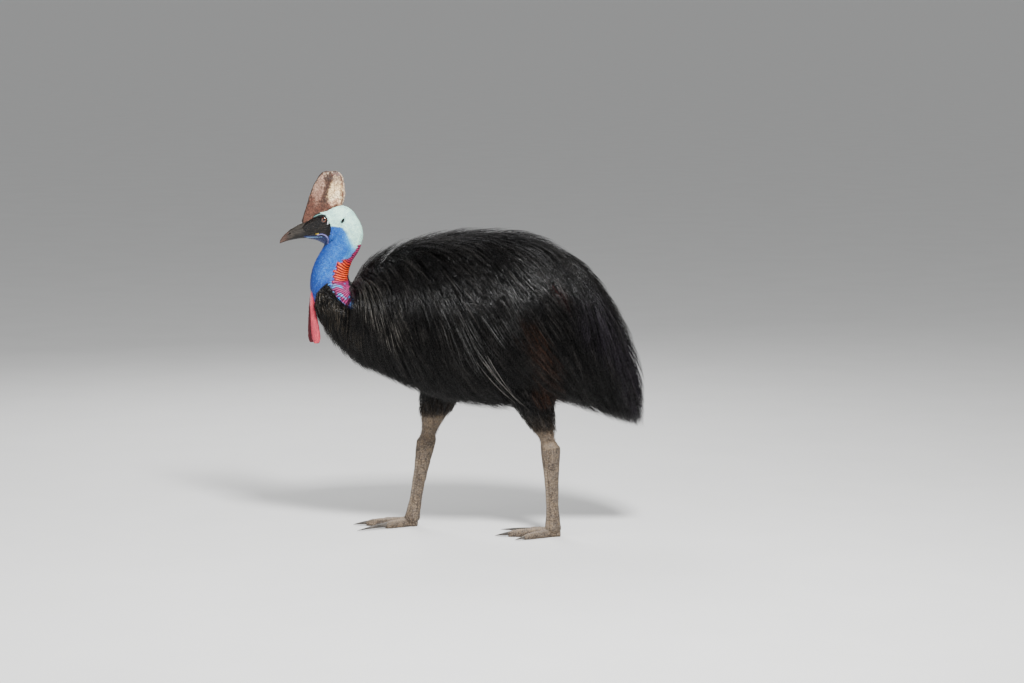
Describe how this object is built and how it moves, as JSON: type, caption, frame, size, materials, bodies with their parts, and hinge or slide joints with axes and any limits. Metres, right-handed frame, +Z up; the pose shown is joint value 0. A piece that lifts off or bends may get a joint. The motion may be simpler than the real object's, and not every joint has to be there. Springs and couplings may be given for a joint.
{
  "type": "southern cassowary",
  "caption": "Life-size still model of a standing cassowary in mid-stride, with casque, wattles, hanging plumage and scaly legs.",
  "frame": {"origin": "on the floor under the middle of the bird's box, midway from the tip of the bill to the hindmost feathers", "axes": "+Z up, -X the way the bird faces and walks, -Y the bird's left side"},
  "size_m": [1.2775, 0.4735, 1.272],
  "materials": {
    "plumage": "glossy black, hair-like",
    "skin_pale": "pale blue-green bare skin",
    "skin_blue": "cobalt blue, finely pebbled",
    "skin_red": "blue throat with folded orange-red hind neck",
    "wattle": "soft, pinkish red",
    "bill": "black horn",
    "casque": "mottled brown horn",
    "eye": "wet, reddish brown",
    "leg_scale": "grey-brown scales",
    "claw": "dark horn",
    "quill": "dark bare shafts"
  },
  "bodies": {
    "root": {"head": "skin_pale", "casque": "casque", "bill_upper": "bill", "bill_lower": "bill", "eye_left": "eye", "eye_right": "eye", "neck_upper": "skin_blue", "neck_lower": "skin_red", "wattle_left": "wattle", "wattle_right": "wattle", "torso": "plumage", "tail": "plumage", "wing_left": "quill", "wing_right": "quill", "thigh_left": "plumage", "thigh_right": "plumage", "shank_left": "leg_scale", "shank_right": "leg_scale", "toe_middle_left": "leg_scale", "toe_inner_left": "leg_scale", "toe_outer_left": "leg_scale", "toe_middle_right": "leg_scale", "toe_inner_right": "leg_scale", "toe_outer_right": "leg_scale", "claw_middle_left": "claw", "claw_inner_left": "claw", "claw_outer_left": "claw", "claw_middle_right": "claw", "claw_inner_right": "claw", "claw_outer_right": "claw"}
  },
  "joints": []
}
